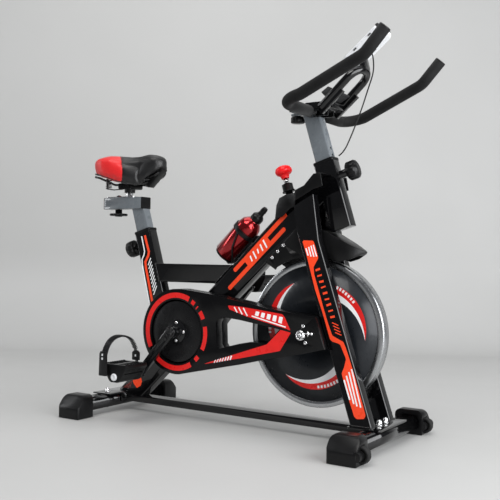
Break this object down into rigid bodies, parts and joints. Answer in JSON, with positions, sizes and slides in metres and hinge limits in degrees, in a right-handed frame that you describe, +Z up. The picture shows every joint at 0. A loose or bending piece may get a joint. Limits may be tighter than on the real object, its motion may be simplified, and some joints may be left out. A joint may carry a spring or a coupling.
{
  "type": "indoor spin bike",
  "caption": "Black indoor spin bike with a chrome-rimmed flywheel, belt guard, red and black saddle, racing handlebar, display and red bottle.",
  "frame": {"origin": "on the floor under the middle of the bounding box", "axes": "+X forwards to the handlebar, +Y to the rider's left, +Z up"},
  "size_m": [1.0816, 0.4898, 1.0935],
  "materials": {
    "frame_paint": "gloss black enamel",
    "silver_paint": "satin silver grey powder coat",
    "steel": "machined steel",
    "chrome": "bright",
    "flywheel_paint": "satin charcoal with a bright turned rim",
    "black_plastic": "fine texture",
    "guard_plastic": "smooth black",
    "white_plastic": "light grey",
    "red_plastic": "bright red",
    "red_aluminium": "anodised red",
    "rubber": "belt and wheels",
    "foam": "dense foam",
    "upholstery": "stitched cover, black nose and red rear",
    "display": "display window"
  },
  "bodies": {
    "frame": {"main_frame": "frame_paint", "rear_stabilizer": "frame_paint", "front_stabilizer": "frame_paint", "rear_end_caps": "black_plastic", "front_end_caps": "black_plastic", "stabilizer_bolts": "steel", "nuts_and_tensioner": "chrome", "post_bushings": "black_plastic", "bb_bearings": "steel", "flywheel_axle": "steel", "belt_guard_outer": "guard_plastic", "belt_guard_inner": "black_plastic", "panel_screws": "chrome", "shroud": "black_plastic", "fender": "black_plastic", "brake_sleeve": "black_plastic", "bottle_cage": "black_plastic", "pin_and_brake_springs": "steel", "drive_belt": "rubber"},
    "seat_post": {"seat_post": "silver_paint", "seat_rail_plugs": "black_plastic"},
    "seat_slider": {"seat_slider": "chrome"},
    "seat_slider_knob": {"seat_slider_knob": "black_plastic"},
    "saddle": {"saddle_clamp": "black_plastic", "saddle_rails": "steel", "saddle_base": "black_plastic", "saddle_cushion": "upholstery"},
    "seat_pin": {"seat_pin": "steel", "seat_pin_knob": "black_plastic"},
    "head_pin": {"head_pin": "steel", "head_pin_knob": "black_plastic"},
    "handlebar": {"handlebar_post": "silver_paint", "handlebar_frame": "frame_paint", "foam_grips": "foam", "console_back": "white_plastic", "console_bezel": "black_plastic", "console_lens": "display", "console_cable": "rubber"},
    "handlebar_clamp_knob": {"handlebar_clamp_knob": "black_plastic"},
    "mode_button": {"mode_button": "red_plastic"},
    "crank": {"crank_spindles": "steel", "crank_bolts": "chrome", "crank_arm_right": "silver_paint", "crank_arm_left": "silver_paint", "drive_pulley": "guard_plastic"},
    "pedal_right": {"pedal_right": "black_plastic", "toe_strap_right": "black_plastic"},
    "pedal_left": {"pedal_left": "black_plastic", "toe_strap_left": "black_plastic"},
    "flywheel": {"flywheel": "chrome", "flywheel_covers": "flywheel_paint", "hub_bearings": "steel"},
    "wheel_right": {"transport_wheel_right": "rubber"},
    "wheel_left": {"transport_wheel_left": "rubber"},
    "brake_rod": {"brake_rod": "chrome"},
    "brake_knob": {"brake_knob": "red_plastic"},
    "brake_pad": {"brake_pad_holder": "steel", "brake_pad": "rubber"},
    "bottle": {"bottle": "red_aluminium", "bottle_cap": "black_plastic"}
  },
  "joints": [
    {"name": "seat_height", "type": "slide", "parent": "frame", "child": "seat_post", "axis": [-0.285, 0, 0.9585], "range_m": [-0.045, 0.1]},
    {"name": "seat_fore_aft", "type": "slide", "parent": "seat_post", "child": "seat_slider", "axis": [1, 0, 0], "range_m": [-0.02, 0.038]},
    {"name": "seat_slider_knob_turn", "type": "hinge", "parent": "seat_slider", "child": "seat_slider_knob", "pos_m": [-0.46979, 0, 0.62], "axis": [0, 0, 1], "range_deg": [-180, 180]},
    {"name": "saddle_tilt", "type": "hinge", "parent": "seat_slider", "child": "saddle", "pos_m": [-0.42379, 0, 0.704], "axis": [0, 1, 0], "range_deg": [-3, 3]},
    {"name": "seat_pin_pull", "type": "slide", "parent": "frame", "child": "seat_pin", "axis": [-0.9585, 0, -0.285], "range_m": [0, 0.0038]},
    {"name": "head_pin_pull", "type": "slide", "parent": "frame", "child": "head_pin", "axis": [0.9549, 0, 0.297], "range_m": [0, 0.0038]},
    {"name": "handlebar_height", "type": "slide", "parent": "frame", "child": "handlebar", "axis": [-0.297, 0, 0.9549], "range_m": [-0.068, 0.025], "deforming": ["console_cable"]},
    {"name": "handlebar_clamp_turn", "type": "hinge", "parent": "handlebar", "child": "handlebar_clamp_knob", "pos_m": [0.18921, 0, 0.87], "axis": [0, 0, 1], "range_deg": [-180, 180]},
    {"name": "mode_button_press", "type": "slide", "parent": "handlebar", "child": "mode_button", "axis": [0.638, 0, -0.77], "range_m": [0, 0.0012]},
    {"name": "crank_spin", "type": "hinge", "parent": "frame", "child": "crank", "pos_m": [-0.15289, 0, 0.2665], "axis": [0, 1, 0], "continuous": true},
    {"name": "pedal_right_spin", "type": "hinge", "parent": "crank", "child": "pedal_right", "pos_m": [-0.26563, 0, 0.13927], "axis": [0, 1, 0], "continuous": true},
    {"name": "pedal_left_spin", "type": "hinge", "parent": "crank", "child": "pedal_left", "pos_m": [-0.04015, 0, 0.39373], "axis": [0, 1, 0], "continuous": true},
    {"name": "flywheel_spin", "type": "hinge", "parent": "frame", "child": "flywheel", "pos_m": [0.26071, 0, 0.2823], "axis": [0, 1, 0], "continuous": true},
    {"name": "wheel_right_spin", "type": "hinge", "parent": "frame", "child": "wheel_right", "pos_m": [0.49161, -0.2089, 0.0245], "axis": [0, 1, 0], "continuous": true},
    {"name": "wheel_left_spin", "type": "hinge", "parent": "frame", "child": "wheel_left", "pos_m": [0.49161, 0.2089, 0.0245], "axis": [0, 1, 0], "continuous": true},
    {"name": "brake_push", "type": "slide", "parent": "frame", "child": "brake_rod", "axis": [0.3021, 0, -0.9533], "range_m": [0, 0.002]},
    {"name": "brake_knob_turn", "type": "hinge", "parent": "brake_rod", "child": "brake_knob", "pos_m": [0.15921, 0, 0.685], "axis": [-0.3021, 0, 0.9533], "range_deg": [0, 360]},
    {"name": "brake_pad_advance", "type": "slide", "parent": "brake_rod", "child": "brake_pad", "axis": [0.3021, 0, -0.9533], "range_m": [0, 0.0018]},
    {"name": "bottle_lift_out", "type": "slide", "parent": "frame", "child": "bottle", "axis": [0.7281, 0, 0.6855], "range_m": [0, 0.03]}
  ],
  "couplings": [
    {"joint": "crank_spin", "follows": "flywheel_spin", "ratio": 0.32609},
    {"joint": "brake_pad_advance", "follows": "brake_knob_turn", "m_per_rad": 0.000286}
  ]
}
